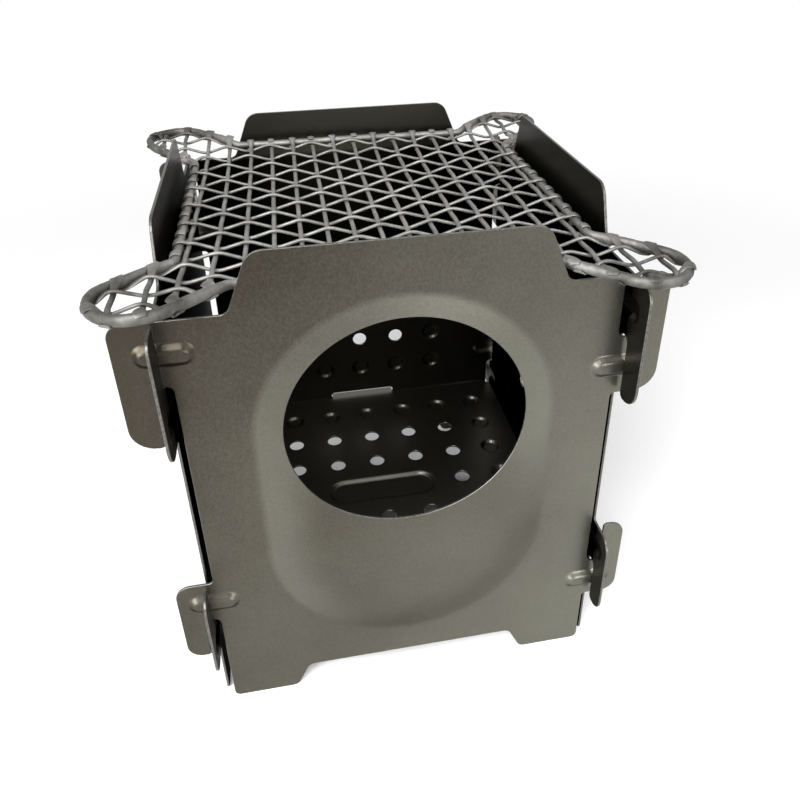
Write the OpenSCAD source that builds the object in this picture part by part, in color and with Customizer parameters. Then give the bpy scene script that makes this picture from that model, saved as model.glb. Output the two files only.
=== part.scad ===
// Flat-pack camping stove
// Four notched plates hook into each other at the corners and form a square chimney.
// A perforated tray carries the fire, and a woven wire grill lies on the shoulders.
// The front is at negative y and the ground is at z zero.

/* [Plates] */
// Width and depth over the outer faces of the plates
stove_width = 130; // [124:1:140]
// Thickness of the steel sheet
sheet = 0.8; // [0.6:0.1:1]
// Gap between a side edge and the inner face of the next plate
edge_gap = 2.05; // [1:0.05:3]
// Height of the shoulders that carry the grill
shoulder_height = 150.7; // [146:0.1:160]
// Rise of a pot tab above the shoulders
tab_rise = 17.1; // [12:0.1:22]
// Width of a pot tab along its top edge, as a share of the stove's width
tab_top_share = 0.6; // [0.5:0.01:0.65]
// Width of a pot tab at the shoulders, as a share of the stove's width
tab_root_share = 0.705; // [0.67:0.005:0.74]
// Corner radius at the top of a pot tab
tab_corner = 5.5; // [3:0.1:7]
// Inside radius between a pot tab and the shoulders
tab_fillet = 3; // [1:0.1:3.2]

/* [Corner hooks] */
// Reach of the upper hooks beyond the outer face of the next plate
upper_hook_reach = 11; // [8:0.1:14]
// Reach of the lower hooks beyond the outer face of the next plate
lower_hook_reach = 9.2; // [7:0.1:12]
// Height of the upper hooks, from the shoulders down
upper_hook_height = 39.6; // [36:0.1:44]
// Height at which the upper hooks cross, as a share of their height from below
upper_cross_share = 0.5; // [0.42:0.01:0.58]
// Height of the lower hooks
lower_hook_height = 32.6; // [30:0.1:36]
// Height at which the lower hooks cross, as a share of their height from below
lower_cross_share = 0.5; // [0.42:0.01:0.58]
// Underside of the lower hooks
lower_hook_bottom = 23.4; // [20:0.1:25]
// Clearance between the ends of two crossed slits
slit_end_gap = 0.4; // [0.3:0.05:0.8]
// Clearance between a slit and the rib that passes through it
slit_side_gap = 0.3; // [0.2:0.05:0.6]
// Corner radius of a hook beside the shoulder, as a share of the hook's arm
hook_top_share = 0.43; // [0.2:0.01:0.6]
// Corner radius at the foot of an upper hook, as a share of the hook's arm
hook_bottom_share = 0.76; // [0.3:0.01:0.78]
// Corner radius of the lower hooks, as a share of the hook's arm
lower_hook_share = 0.68; // [0.3:0.01:0.76]
// Corner radius at the mouth of a slit, as a share of the hook's arm
slit_mouth_share = 0.2; // [0.05:0.01:0.22]
// Inside radius where a hook leaves the side edge
hook_fillet = 1.5; // [0.5:0.1:3]

/* [Hook ribs] */
// Length of the rib pressed across a hook
rib_length = 17; // [15:0.1:18]
// Height of the rib on the plate
rib_width = 8; // [6:0.1:9]
// Depth of the pressing
rib_rise = 1.5; // [1:0.1:1.8]
// Width of the sloping border of the rib
rib_border = 1.4; // [1:0.1:2]

/* [Feet] */
// Width of a foot on the ground
foot_width = 21.8; // [14:0.1:26]
// Height of the recess between the feet
recess_height = 9.8; // [6:0.1:14]
// Sideways run of the slanted inner edge of a foot
foot_slant = 4.6; // [2:0.1:8]
// Corner radius at the outer edge of a foot
foot_corner = 2; // [1:0.1:4]
// Corner radii at the slanted inner edge of a foot
foot_fillet = 3; // [1:0.1:4]

/* [Fuel opening] */
// Radius of the round opening in the front plate
opening_radius = 35.4; // [30:0.1:36]
// Distance of the middle of the opening below the shoulders
opening_drop = 41; // [39:0.1:49]
// Radius of the raised field round the opening
field_radius = 45; // [44.5:0.1:47]
// Distance of the middle of the upper arc of the raised field below the shoulders
field_drop = 42.8; // [41:0.1:47]
// Height of the middle of the lower arc of the raised field
field_low_height = 65.4; // [62:0.1:80]
// Depth of the raised field
field_rise = 1.8; // [1:0.1:2.4]
// Width of the sloping border of the raised field
field_border = 7.5; // [5:0.1:8]

/* [Vents] */
// Centre distance of the vents and dimples in the walls
wall_pitch = 17; // [14:0.1:20]
// Diameter of the vents in the walls and in the tray
vent_d = 6.2; // [4:0.1:7]
// Diameter of a pressed dimple at the sheet
dimple_d = 8.4; // [7:0.1:9]
// Depth of a pressed dimple
dimple_rise = 1.1; // [0.8:0.1:1.4]
// Width of the sloping border of a dimple
dimple_border = 1.6; // [1:0.1:2.4]
// Height of the row of vents in the side and back plates
wall_vent_height = 59.7; // [56:0.1:70]
// Height of the row of dimples in the side and back plates
wall_dimple_height = 44.1; // [40:0.1:46]

/* [Tray] */
// Height of the underside of the tray
tray_height = 27.7; // [26:0.1:30]
// Gap between the rim of the tray and the plates
tray_gap = 1; // [0.6:0.1:2]
// Corner radius of the tray
tray_corner = 4; // [2:0.1:8]
// Centre distance of the holes and dimples in the tray, as a share of half of the tray's width
tray_pitch_share = 0.266; // [0.25:0.002:0.27]
// Distance of the middle of the holes, dimples and pan in front of the middle of the tray
tray_grid_shift = 2.6; // [0:0.1:3.4]
// Width of the tongues that pass through the walls
tongue_width = 29; // [20:0.1:34]
// How far a tongue stands out of a wall
tongue_reach = 2; // [1:0.1:4]
// Clearance of a tongue to each side of its slot
tongue_gap = 0.5; // [0.3:0.1:1]
// Clearance under a tongue
tongue_seat = 0.3; // [0.2:0.05:0.5]
// Height of the slots in the walls
slot_height = 3.2; // [2.4:0.1:4]
// Length of the pressed pan in the middle of the tray
pan_length = 44.6; // [38:0.1:46]
// Width of the pressed pan
pan_width = 13.7; // [10:0.1:15]
// Width of the sloping border of the pan
pan_border = 1.8; // [1:0.1:3]

/* [Grill] */
// Centre distance of neighbouring wires, as a share of half of the rim's width
mesh_pitch_share = 0.131; // [0.129:0.001:0.133]
// Diameter of the wires that run from front to back
warp_d = 1.4; // [1.1:0.1:1.4]
// Diameter of the wires that run from side to side
weft_d = 1.2; // [1:0.1:1.4]
// Diameter of the rim wire
rim_d = 2.4; // [2:0.1:2.6]
// Clearance between the grill and the pot tabs
grill_gap = 0.45; // [0.3:0.05:0.8]
// Clearance between the grill and the shoulders
grill_seat = 0.2; // [0.1:0.05:0.4]
// Clearance between crossing wires
weave_gap = 0.05; // [0.04:0.01:0.1]
// Part of the crimp that the front to back wires take
warp_crimp_share = 0.28; // [0.2:0.01:0.4]
// Length of the flat crest of a crimp
crest_length = 2; // [1:0.1:3]
// Radius of the round end of an ear to the rim's middle line, as a share of half of the rim's width
ear_width_share = 0.18; // [0.174:0.001:0.186]
// Distance of the middle of an ear's round end beyond the rim's straight sides, as such a share
ear_offset_share = 0.093; // [0.082:0.001:0.115]
// How far inside the foot of a pot tab an ear begins
ear_neck_gap = 0.25; // [0.1:0.05:0.6]
// Inside radius of the rim where an ear begins
ear_bend = 5; // [3:0.1:6]

/* [Hidden] */
overrun = 0.3;
round_steps = 96;
small_steps = 48;
corner_steps = 8;
rim_sides = 8;
wire_sides = 6;
bend_steps = 2;
ear_steps = 8;
hook_turn = 45;
half = stove_width / 2;
inner_face = half - sheet;
edge_x = inner_face - edge_gap;
slit_x = half + rib_rise + slit_side_gap;
slit_width = slit_x - edge_x;
slit_round = slit_width / 2;
tab_top = shoulder_height + tab_rise;
tab_top_half = half * tab_top_share;
tab_root_half = half * tab_root_share;
upper_hook_bottom = shoulder_height - upper_hook_height;
upper_cross_height = upper_hook_bottom + upper_hook_height * upper_cross_share;
lower_hook_top = lower_hook_bottom + lower_hook_height;
lower_cross_height = lower_hook_bottom + lower_hook_height * lower_cross_share;
opening_height = shoulder_height - opening_drop;
field_high_height = shoulder_height - field_drop;
upper_hook_x = half + upper_hook_reach;
lower_hook_x = half + lower_hook_reach;
upper_arm = upper_hook_x - slit_x;
lower_arm = lower_hook_x - slit_x;
hook_top_corner = upper_arm * hook_top_share;
hook_bottom_corner = upper_arm * hook_bottom_share;
upper_mouth = upper_arm * slit_mouth_share;
lower_hook_corner = lower_arm * lower_hook_share;
lower_mouth = lower_arm * slit_mouth_share;
slot_bottom = tray_height - tongue_seat;
slot_width = tongue_width + 2 * tongue_gap;
tray_half = inner_face - tray_gap;
tray_pitch = tray_half * tray_pitch_share;
plate_names = ["front_plate", "right_plate", "back_plate", "left_plate"];

// Middle line of the grill
wrap_d = max(warp_d, weft_d);
rim_half = inner_face - grill_gap - wrap_d - weave_gap - rim_d / 2;
grill_height = shoulder_height + grill_seat + wrap_d + weave_gap + rim_d / 2;
mesh_pitch = rim_half * mesh_pitch_share;
ear_half_width = rim_half * ear_width_share;
ear_offset = rim_half * ear_offset_share;
ear_start = tab_root_half - ear_neck_gap;
ear_centre = rim_half + ear_offset;
neck_run = ear_centre - ear_start;
neck_length = norm([neck_run, ear_offset]);
flank_turn = atan2(ear_offset, neck_run) + asin(ear_half_width / neck_length);
flank_slope = tan(flank_turn);
flank_near = ear_centre - ear_half_width * sin(flank_turn);
flank_far = ear_centre + ear_half_width * cos(flank_turn);
bend_start = ear_start - ear_bend * tan(flank_turn / 2);
crimp = (warp_d + weft_d) / 2 + weave_gap;
wire_room = (rim_d + wrap_d) / 2 + weave_gap;
ear_wire_share = 0.75;
ear_wire_limit = ear_centre + ear_half_width * ear_wire_share;
wire_count = floor(ear_wire_limit / mesh_pitch);
long_places = [for (k = [-wire_count : wire_count]) if (abs(k) * mesh_pitch < rim_half - wire_room) k];
ear_places = [for (k = [-wire_count : wire_count]) if (abs(k) * mesh_pitch > rim_half + wire_room) k];
ear_runs = [for (k = ear_places, side = [-1, 1]) [k, side]];

function long_name(kind, i) = str(kind, "_wire_", i < 9 ? "0" : "", i + 1);
function ear_name(kind, i) = str("ear_", kind, "_wire_", i + 1);
kinds = ["warp", "weft"];

// Outlines

function unit(v) = v / norm(v);

// Arc that rounds the corner at b between its neighbours a and c
function rounded(a, b, c, r) =
  let (
    to_a = unit(a - b),
    to_c = unit(c - b),
    half_angle = acos(to_a * to_c) / 2,
    middle = b + unit(to_a + to_c) * r / sin(half_angle),
    first = b + to_a * r / tan(half_angle) - middle,
    last = b + to_c * r / tan(half_angle) - middle,
    sweep = 180 - 2 * half_angle
  )
  [for (i = [0 : corner_steps])
    middle + (sin(sweep * (1 - i / corner_steps)) * first + sin(sweep * i / corner_steps) * last) / sin(sweep)];

// Outline from rows of x, height and corner radius
function outline(rows) = [for (i = [0 : len(rows) - 1]) let (
    a = rows[(i + len(rows) - 1) % len(rows)],
    b = rows[i],
    c = rows[(i + 1) % len(rows)]
  )
  each rounded([a[0], a[1]], [b[0], b[1]], [c[0], c[1]], b[2])];

// Half of the tab and a hooked side whose slits open downwards, from the top to the ground
left_side = [
  [-tab_top_half, tab_top, tab_corner],
  [-tab_root_half, shoulder_height, tab_fillet],
  [-upper_hook_x, shoulder_height, hook_top_corner],
  [-upper_hook_x, upper_hook_bottom, hook_bottom_corner],
  [-slit_x, upper_hook_bottom, upper_mouth],
  [-slit_x, upper_cross_height + slit_end_gap / 2, slit_round],
  [-edge_x, upper_cross_height + slit_end_gap / 2, slit_round],
  [-edge_x, lower_hook_top, hook_fillet],
  [-lower_hook_x, lower_hook_top, lower_hook_corner],
  [-lower_hook_x, lower_hook_bottom, lower_hook_corner],
  [-slit_x, lower_hook_bottom, lower_mouth],
  [-slit_x, lower_cross_height + slit_end_gap / 2, slit_round],
  [-edge_x, lower_cross_height + slit_end_gap / 2, slit_round],
  [-edge_x, 0, foot_corner],
  [foot_width - edge_x, 0, foot_fillet],
  [foot_width + foot_slant - edge_x, recess_height, foot_fillet]
];

// Half of the tab and a hooked side whose slits open upwards, from the ground to the top
right_side = [
  [edge_x - foot_width - foot_slant, recess_height, foot_fillet],
  [edge_x - foot_width, 0, foot_fillet],
  [edge_x, 0, foot_corner],
  [edge_x, lower_hook_bottom, hook_fillet],
  [lower_hook_x, lower_hook_bottom, lower_hook_corner],
  [lower_hook_x, lower_hook_top, lower_hook_corner],
  [slit_x, lower_hook_top, lower_mouth],
  [slit_x, lower_cross_height - slit_end_gap / 2, slit_round],
  [edge_x, lower_cross_height - slit_end_gap / 2, slit_round],
  [edge_x, upper_hook_bottom, hook_fillet],
  [upper_hook_x, upper_hook_bottom, hook_bottom_corner],
  [upper_hook_x, shoulder_height, hook_top_corner],
  [slit_x, shoulder_height, upper_mouth],
  [slit_x, upper_cross_height - slit_end_gap / 2, slit_round],
  [edge_x, upper_cross_height - slit_end_gap / 2, slit_round],
  [edge_x, shoulder_height, upper_mouth],
  [tab_root_half, shoulder_height, tab_fillet],
  [tab_top_half, tab_top, tab_corner]
];

plate_outline = outline(concat(left_side, right_side));

// Middle of each rib, on the solid arm of its hook
rib_x = slit_x + (upper_hook_x - slit_x) / 2 - rib_length / 2;
rib_places = [
  [-rib_x, (upper_cross_height + shoulder_height) / 2],
  [rib_x, (upper_cross_height + upper_hook_bottom) / 2],
  [-rib_x, (lower_cross_height + lower_hook_top) / 2],
  [rib_x, (lower_cross_height + lower_hook_bottom) / 2]
];

// Pressings

// Long raised field with round ends and sloping borders, on the plane z zero
module pressing(span, reach, border, rise) {
  spread = border * overrun / rise;
  foot = reach + spread;
  crown = reach - border;
  for (x = [-span / 2, span / 2])
    translate([x, 0, -overrun])
      cylinder(h = rise + overrun, r1 = foot, r2 = crown, $fn = round_steps);
  translate([-span / 2, 0, 0])
    rotate([90, 0, 90])
      linear_extrude(height = span)
        polygon([[-foot, -overrun], [foot, -overrun], [crown, rise], [-crown, rise]]);
}

// Round raised dimple on the plane z zero
module dimple() {
  spread = dimple_border * overrun / dimple_rise;
  translate([0, 0, -overrun])
    cylinder(
      h = dimple_rise + overrun,
      r1 = dimple_d / 2 + spread,
      r2 = dimple_d / 2 - dimple_border,
      $fn = small_steps
    );
}

module rib() {
  pressing(rib_length - rib_width, rib_width / 2, rib_border, rib_rise);
}

module field() {
  translate([0, (field_high_height + field_low_height) / 2, 0])
    rotate([0, 0, 90])
      pressing(field_high_height - field_low_height, field_radius, field_border, field_rise);
}

module vent() {
  translate([0, 0, -overrun])
    cylinder(h = sheet + 2 * overrun, d = vent_d, $fn = small_steps);
}

// Plates, drawn with x across, y up and z out of the stove

// Hooked plate whose pressings are given as child 0
module hooked_plate() {
  difference() {
    union() {
      linear_extrude(height = sheet) polygon(plate_outline);
      translate([0, 0, sheet]) children(0);
      for (place = rib_places) translate([place[0], place[1], sheet]) rib();
    }
    children(0);
    for (place = rib_places) translate([place[0], place[1], 0]) rib();
  }
}

// Stands a plate up on one side of the stove, turned about the middle
module stand(turn) {
  rotate([0, 0, turn])
    translate([0, sheet - half, 0])
      rotate([90, 0, 0])
        children();
}

module wall_dimples() {
  for (i = [-2 : 2])
    translate([i * wall_pitch, wall_dimple_height, 0]) dimple();
}

module slot() {
  slot_end = slot_height / 2;
  for (side = [-1, 1])
    translate([side * (slot_width / 2 - slot_end), slot_bottom + slot_end, -overrun])
      cylinder(h = sheet + 2 * overrun, r = slot_end, $fn = small_steps);
  translate([slot_end - slot_width / 2, slot_bottom, -overrun])
    cube([slot_width - slot_height, slot_height, sheet + 2 * overrun]);
}

module front_plate() {
  color("#77736a")
    stand(0)
      difference() {
        hooked_plate() field();
        translate([0, opening_height, -overrun])
          cylinder(h = sheet + field_rise + 2 * overrun, r = opening_radius, $fn = round_steps);
      }
}

module wall_plate(turn) {
  color("#6c6961")
    stand(turn)
      difference() {
        hooked_plate() wall_dimples();
        for (i = [-2 : 2])
          translate([i * wall_pitch, wall_vent_height, 0]) vent();
        slot();
      }
}

// Tray

tray_outline = outline([
  [-tray_half, -tray_half, tray_corner],
  [tray_half, -tray_half, tray_corner],
  [tray_half, tray_half, tray_corner],
  [-tray_half, tray_half, tray_corner]
]);

// Grid places of the tray, the outer ring as dimples and the inner field as holes
tray_grid = [for (i = [-3 : 3], j = [-3 : 3]) [i, j]];
tray_dimples = [for (g = tray_grid) if (max(abs(g[0]), abs(g[1])) == 3) g];
tray_vents = [for (g = tray_grid) if (max(abs(g[0]), abs(g[1])) < 3 && (g[1] != 0 || abs(g[0]) > 1)) g];

module tray_pressings() {
  translate([0, -tray_grid_shift, 0])
    mirror([0, 0, 1]) {
      for (g = tray_dimples)
        translate([g[0] * tray_pitch, g[1] * tray_pitch, 0]) dimple();
      pressing(pan_length - pan_width, pan_width / 2, pan_border, dimple_rise);
    }
}

module tongues() {
  reach = half + tongue_reach;
  for (turn = [0, 90, 180])
    rotate([0, 0, turn])
      translate([0, -tongue_width / 2, 0])
        cube([reach, tongue_width, sheet]);
}

module fire_tray() {
  color("#4a4640")
    translate([0, 0, tray_height])
      difference() {
        union() {
          linear_extrude(height = sheet) polygon(tray_outline);
          tongues();
          tray_pressings();
        }
        translate([0, 0, sheet]) tray_pressings();
        for (g = tray_vents)
          translate([g[0] * tray_pitch, g[1] * tray_pitch - tray_grid_shift, 0]) vent();
      }
}

// Grill

// Ring of points round place i of a path that lies in the plane across normal
function ring(path, normal, r, sides, closed, i) =
  let (
    n = len(path),
    before = i > 0 ? path[i] - path[i - 1] : closed ? path[0] - path[n - 1] : path[1] - path[0],
    after = i < n - 1 ? path[i + 1] - path[i] : closed ? path[0] - path[n - 1] : before,
    way = unit(unit(before) + unit(after)),
    across = cross(normal, way) / (way * unit(before))
  )
  [for (s = [0 : sides - 1])
    let (a = 360 * s / sides) path[i] + r * (cos(a) * normal + sin(a) * across)];

// Tube of flat facets along a path
module tube(path, normal, d, sides, closed) {
  n = len(path);
  points = [for (i = [0 : n - 1]) each ring(path, normal, d / 2, sides, closed, i)];
  walls = [for (i = [0 : closed ? n - 1 : n - 2], s = [0 : sides - 1])
    let (
      j = (i + 1) % n,
      a = i * sides + s,
      b = i * sides + (s + 1) % sides,
      c = j * sides + s,
      e = j * sides + (s + 1) % sides
    )
    each [[a, b, c], [b, e, c]]];
  ends = closed ? [] : [
    [for (s = [sides - 1 : -1 : 0]) s],
    [for (s = [0 : sides - 1]) (n - 1) * sides + s]
  ];
  polyhedron(points = points, faces = concat(walls, ends));
}

function turned(p, a) = [p[0] * cos(a) - p[1] * sin(a), p[0] * sin(a) + p[1] * cos(a), p[2]];

// Points of an arc round a centre at the height of the rim
function arc(x, y, r, from, to, steps) =
  [for (i = [0 : steps])
    let (a = from + (to - from) * i / steps) [x + r * cos(a), y + r * sin(a), grill_height]];

// Rim from the front side round one ear to the right side
rim_quarter = concat(
  arc(bend_start, -rim_half - ear_bend, ear_bend, 90, 90 - flank_turn, bend_steps),
  arc(ear_centre, -ear_centre, ear_half_width, -90 - flank_turn, flank_turn, ear_steps),
  arc(rim_half + ear_bend, -bend_start, ear_bend, 180 + flank_turn, 180, bend_steps)
);
rim_path = [for (turn = [0 : 90 : 270]) each [for (p = rim_quarter) turned(p, turn)]];

// Distance from the middle at which a wire at place c meets the rim, outside and inside an ear
function outer_meet(c) =
  c <= ear_start ? rim_half :
  c <= flank_near ? rim_half + (c - ear_start) * flank_slope :
  ear_centre + sqrt(ear_half_width * ear_half_width - (c - ear_centre) * (c - ear_centre));
function inner_meet(c) =
  c <= flank_far ? ear_start + (c - rim_half) / flank_slope :
  ear_centre - sqrt(ear_half_width * ear_half_width - (c - ear_centre) * (c - ear_centre));

// One for a wire that passes over the crossing of places k and m, minus one under it
function passes(over_even, k, m) = (k + m) % 2 == 0 ? over_even : -over_even;

// Whether the rim is met so close to a crossing that both are passed on the same side
function nearest(u) = round(u / mesh_pitch);
function is_near(u) = abs(nearest(u) * mesh_pitch - u) < mesh_pitch / 4;

// Side of the rim on which wire k passes at distance u, seen from the inside of the mesh
function rim_side(over_even, k, u, last) =
  is_near(u) ? passes(over_even, k, nearest(u)) : -passes(over_even, k, last);

// Wrap round the rim, or a short end laid across it, from the mesh outwards
function wire_end(u, way, side, wire_d, wraps) =
  let (
    reach = (rim_d + wire_d) / 2 + weave_gap,
    r = reach / cos(hook_turn / 2)
  )
  wraps
    ? [for (a = [90 + hook_turn / 2 : -hook_turn : -90 - hook_turn / 2])
        [u + way * r * cos(a), side * r * sin(a)]]
    : [[u - way * rim_d / 2, side * reach], [u + way * rim_d / 2, side * reach]];

// Path of a wire at place k from u0 to u1, as distance and height
function wire_path(over_even, amplitude, crest, wire_d, k, u0, u1) =
  let (
    wraps = abs(k) * mesh_pitch + wire_d / 2 < bend_start,
    first = ceil((u0 + mesh_pitch / 4) / mesh_pitch),
    last = floor((u1 - mesh_pitch / 4) / mesh_pitch),
    start = wire_end(u0, -1, rim_side(over_even, k, u0, first), wire_d, wraps),
    finish = wire_end(u1, 1, rim_side(over_even, k, u1, last), wire_d, wraps)
  )
  concat(
    [for (i = [len(start) - 1 : -1 : 0]) start[i]],
    [for (m = [first : last], e = crest > 0 ? [-crest / 2, crest / 2] : [0])
      [m * mesh_pitch + e, amplitude * passes(over_even, k, m)]],
    finish
  );

function warp_path(k, u0, u1) =
  [for (p = wire_path(1, crimp * warp_crimp_share, 0, warp_d, k, u0, u1))
    [k * mesh_pitch, p[0], grill_height + p[1]]];
function weft_path(k, u0, u1) =
  [for (p = wire_path(-1, crimp * (1 - warp_crimp_share), crest_length, weft_d, k, u0, u1))
    [p[0], k * mesh_pitch, grill_height + p[1]]];

module warp_wire(k, u0, u1) {
  color("#b3b1ab") tube(warp_path(k, u0, u1), [1, 0, 0], warp_d, wire_sides, false);
}

module weft_wire(k, u0, u1) {
  color("#b8b6b0") tube(weft_path(k, u0, u1), [0, -1, 0], weft_d, wire_sides, false);
}

module grill_rim() {
  color("#a9a7a0") tube(rim_path, [0, 0, 1], rim_d, rim_sides, true);
}

function long_reach(k) = outer_meet(abs(k) * mesh_pitch);
function ear_near(run) = inner_meet(abs(run[0]) * mesh_pitch);
function ear_far(run) = outer_meet(abs(run[0]) * mesh_pitch);
function ear_low(run) = run[1] > 0 ? ear_near(run) : -ear_far(run);
function ear_high(run) = run[1] > 0 ? ear_far(run) : -ear_near(run);

front_plate();
wall_plate(90);  // right_plate
wall_plate(180);  // back_plate
wall_plate(270);  // left_plate
fire_tray();
grill_rim();
for (i = [0 : len(long_places) - 1])
  warp_wire(long_places[i], -long_reach(long_places[i]), long_reach(long_places[i]));
for (i = [0 : len(long_places) - 1])
  weft_wire(long_places[i], -long_reach(long_places[i]), long_reach(long_places[i]));
for (i = [0 : len(ear_runs) - 1])
  warp_wire(ear_runs[i][0], ear_low(ear_runs[i]), ear_high(ear_runs[i]));
for (i = [0 : len(ear_runs) - 1])
  weft_wire(ear_runs[i][0], ear_low(ear_runs[i]), ear_high(ear_runs[i]));
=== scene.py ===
"""Flat-pack camping stove: four hooked sheet plates, a perforated fire tray and a woven wire grill.

Lengths in the classes of the stove are millimetres in its own frame, with the front at negative y and the
ground at z zero. They become metres when a mesh is made. Finishes and lamps are given in metres.
"""

import logging
import math
from dataclasses import dataclass, field
from enum import Enum

import bpy
import numpy as np
from mathutils import Matrix
from mathutils.geometry import delaunay_2d_cdt
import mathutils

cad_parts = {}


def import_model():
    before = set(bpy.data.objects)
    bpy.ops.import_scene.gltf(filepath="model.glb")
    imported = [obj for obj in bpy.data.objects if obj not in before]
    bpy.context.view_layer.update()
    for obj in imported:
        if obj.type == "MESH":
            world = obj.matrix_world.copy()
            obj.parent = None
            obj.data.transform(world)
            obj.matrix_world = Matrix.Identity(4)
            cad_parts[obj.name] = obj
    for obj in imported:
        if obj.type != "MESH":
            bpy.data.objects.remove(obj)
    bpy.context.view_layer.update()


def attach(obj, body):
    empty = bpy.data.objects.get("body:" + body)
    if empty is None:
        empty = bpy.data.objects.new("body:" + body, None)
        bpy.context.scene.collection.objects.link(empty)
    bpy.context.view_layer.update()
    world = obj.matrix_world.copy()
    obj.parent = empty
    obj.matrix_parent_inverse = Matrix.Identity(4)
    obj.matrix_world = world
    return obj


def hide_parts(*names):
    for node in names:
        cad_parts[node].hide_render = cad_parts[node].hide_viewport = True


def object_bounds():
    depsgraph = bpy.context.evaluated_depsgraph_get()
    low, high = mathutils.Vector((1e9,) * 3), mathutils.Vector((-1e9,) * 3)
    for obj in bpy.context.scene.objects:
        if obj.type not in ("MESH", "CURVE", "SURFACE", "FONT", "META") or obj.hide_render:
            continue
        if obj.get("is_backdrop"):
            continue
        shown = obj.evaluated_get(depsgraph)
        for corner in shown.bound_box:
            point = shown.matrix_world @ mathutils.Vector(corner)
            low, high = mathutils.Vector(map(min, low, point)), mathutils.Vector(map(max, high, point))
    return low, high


LOG = logging.getLogger("stove")
Point = tuple[float, float]
Vector = tuple[float, float, float]
Colour = tuple[float, float, float]
Faces = list[tuple[int, ...]]
Socket = bpy.types.NodeSocket

MM = 0.001
SAME_PLACE = 0.001
EVEN = (1.0, 1.0, 1.0)
STILL = (0.0, 0.0, 0.0)
NOISE_SPAN = (0.3, 0.7)
NOISE_ROUGHNESS = 0.6
# Dark and light ends of the front plate's tone, spread by its painted gradient of light, clouds and grain.
FRONT_TONES = ((0.046, 0.040, 0.031), (0.160, 0.158, 0.132))
# Tones of the walls: the same steel as the front plate, made darker as painted shade.
WALL_TONES = ((0.031, 0.0287, 0.0233), (0.060, 0.0585, 0.0492))
BELOW_GROUND = -0.02
OUTER, CUT, INNER = 0, 1, 2
RING_SHARES = (-0.12, 0.0, 0.06, 0.12, 0.26, 0.42, 0.58, 0.74, 0.88, 1.0, 1.12)
LEAST_ARC_STEPS, OPENING_STEPS, VENT_STEPS, SLOT_END_STEPS = 6, 144, 36, 9
SAME_POINT = 1e-7
DIMPLE_SIZES = (4.2, 1.6, 1.1)
CURVE_LIMIT = 0.49


class Side(Enum):
    """Turn of each plate about the middle of the stove, in degrees."""

    FRONT = 0
    RIGHT = 90
    BACK = 180
    LEFT = 270


class Run(Enum):
    """Direction in which a grill wire runs."""

    WARP = "warp"
    WEFT = "weft"


# Finishes


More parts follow.
